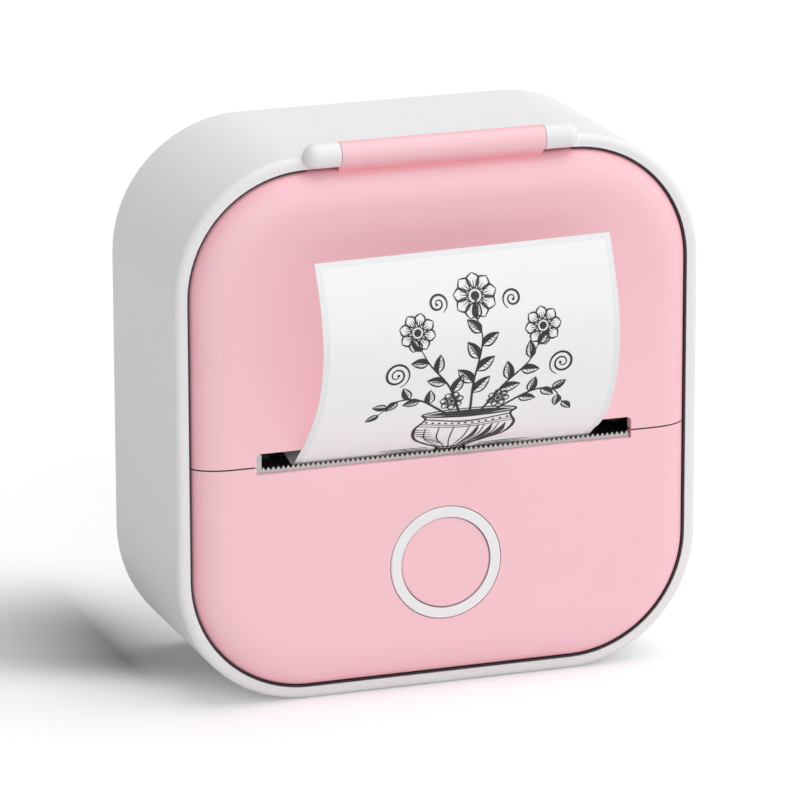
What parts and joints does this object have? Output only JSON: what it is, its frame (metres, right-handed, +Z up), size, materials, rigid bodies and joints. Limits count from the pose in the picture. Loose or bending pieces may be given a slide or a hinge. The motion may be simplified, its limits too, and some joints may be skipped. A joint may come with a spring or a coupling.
{
  "type": "pocket label printer",
  "caption": "Rounded-square pocket label printer: white casing, hinged paper cover over the roll, lower panel with a ringed push button, toothed tear blade.",
  "frame": {"origin": "middle of the base face", "axes": "+Z up, the printing side faces -Y, +X to the right seen from the front"},
  "size_m": [0.088, 0.0555, 0.0911],
  "materials": {
    "white_shell": "satin white moulded plastic",
    "pink_panel": "satin pink moulded plastic",
    "black_plastic": "fine matt black moulded plastic",
    "white_ring": "milky white, smooth",
    "steel": "bright plated steel",
    "screw_steel": "zinc plated",
    "blade_steel": "stamped, fine brushed",
    "platen_rubber": "ground black rubber",
    "bush_plastic": "natural grey, smooth",
    "gear_plastic": "natural acetal",
    "ceramic": "fired ceramic",
    "glaze": "dark glaze",
    "aluminium": "stamped",
    "cable_film": "amber film",
    "cream_plastic": "cream moulded plastic",
    "motor_can": "plated can",
    "brass": "turned",
    "label_paper": "smooth white label paper",
    "cardboard": "spiral wound card",
    "circuit_board": "green solder mask",
    "chip_black": "moulded epoxy",
    "battery_wrap": "blue shrink wrap",
    "foam": "closed-cell foam",
    "light_chip": "moulded light chips"
  },
  "bodies": {
    "root": {"body_shell": "white_shell", "front_panel": "pink_panel", "hinge_pin": "steel", "light_ring": "white_ring", "tear_blade": "blade_steel", "chassis": "black_plastic", "chassis_screws": "screw_steel", "head_springs": "steel", "head_cable": "cable_film", "cable_socket": "cream_plastic", "gear_plate": "steel", "idler_post": "steel", "drive_motor": "motor_can", "motor_screws": "screw_steel", "plate_screws": "screw_steel", "paper_sensor": "black_plastic", "main_board": "circuit_board", "processor": "chip_black", "memory_chip": "chip_black", "motor_driver": "chip_black", "usb_socket": "steel", "board_screws": "screw_steel", "battery": "battery_wrap", "battery_pad": "foam", "button_board": "circuit_board", "power_switch": "steel", "ring_lights": "light_chip"},
    "cover": {"paper_cover": "pink_panel", "cover_liner": "black_plastic", "platen_bushes": "bush_plastic", "paper_strip": "label_paper"},
    "platen": {"platen_roller": "platen_rubber", "platen_shaft": "steel", "platen_gear": "gear_plastic"},
    "head": {"print_head": "ceramic", "heater_line": "glaze", "head_plate": "aluminium"},
    "button": {"power_button": "pink_panel", "switch_plunger": "black_plastic"},
    "reduction": {"reduction_gear": "gear_plastic"},
    "rotor": {"motor_shaft": "steel", "motor_pinion": "brass"},
    "roll": {"paper_roll": "label_paper", "roll_core": "cardboard"}
  },
  "joints": [
    {"name": "cover_hinge", "type": "hinge", "parent": "root", "child": "cover", "pos_m": [0, -0.0182, 0.0891], "axis": [-1, 0, 0], "range_deg": [0, 105], "deforming": ["paper_strip"]},
    {"name": "platen_spin", "type": "hinge", "parent": "cover", "child": "platen", "pos_m": [0, -0.0125, 0.0447], "axis": [1, 0, 0], "continuous": true},
    {"name": "head_pivot", "type": "hinge", "parent": "root", "child": "head", "pos_m": [0, -0.0064, 0.0396], "axis": [-1, 0, 0], "range_deg": [0, 3], "stiffness_Nm_per_rad": 0.15, "springref_deg": -8.59, "deforming": ["head_springs", "head_cable"]},
    {"name": "button_press", "type": "slide", "parent": "root", "child": "button", "axis": [0, 1, 0], "range_m": [0, 0.0005], "stiffness_N_per_m": 800, "springref_m": -0.0005},
    {"name": "roll_spin", "type": "hinge", "parent": "root", "child": "roll", "pos_m": [0, -0.0006, 0.0654], "axis": [1, 0, 0], "continuous": true},
    {"name": "reduction_spin", "type": "hinge", "parent": "root", "child": "reduction", "pos_m": [0, -0.00447, 0.04573], "axis": [1, 0, 0], "continuous": true},
    {"name": "motor_spin", "type": "hinge", "parent": "root", "child": "rotor", "pos_m": [0, 0.00585, 0.04165], "axis": [1, 0, 0], "continuous": true}
  ],
  "couplings": [
    {"joint": "platen_spin", "follows": "roll_spin", "ratio": 3.5},
    {"joint": "reduction_spin", "follows": "roll_spin", "ratio": -2.7222},
    {"joint": "motor_spin", "follows": "roll_spin", "ratio": 7.2593}
  ]
}
